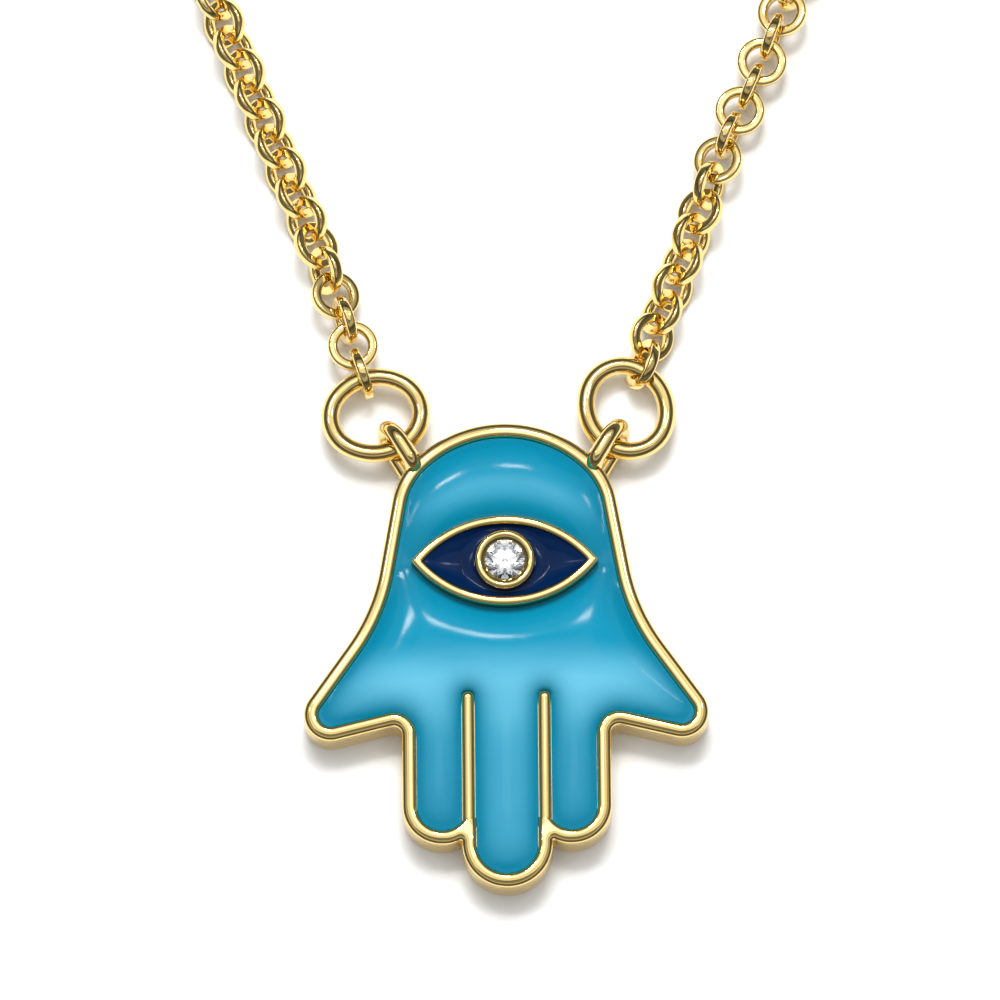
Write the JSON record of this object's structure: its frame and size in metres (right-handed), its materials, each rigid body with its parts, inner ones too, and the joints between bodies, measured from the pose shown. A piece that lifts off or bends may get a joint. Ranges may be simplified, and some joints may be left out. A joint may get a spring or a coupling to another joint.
{
  "type": "hamsa pendant necklace",
  "caption": "Gold hand-shaped pendant with turquoise enamel, a dark blue eye and a round stone, on a fine cable chain.",
  "frame": {"origin": "middle of the hand's flat back, on the surface that the necklace lies on", "axes": "+X to the wearer's left, to the right in the picture; +Y from the fingers up to the chain; +Z off the surface"},
  "size_m": [0.0943, 0.1828, 0.0023],
  "materials": {
    "gold": "polished yellow gold",
    "teal_enamel": "glossy",
    "navy_enamel": "glossy",
    "stone": "faceted, clear"
  },
  "bodies": {
    "root": {"pendant_frame": "gold", "hand_enamel": "teal_enamel", "eye_enamel": "navy_enamel", "stone": "stone", "jump_ring_left": "gold", "jump_ring_right": "gold", "chain_front_left": "gold", "chain_front_right": "gold", "chain_back_left": "gold", "chain_back_right": "gold", "clasp": "gold"}
  },
  "joints": []
}
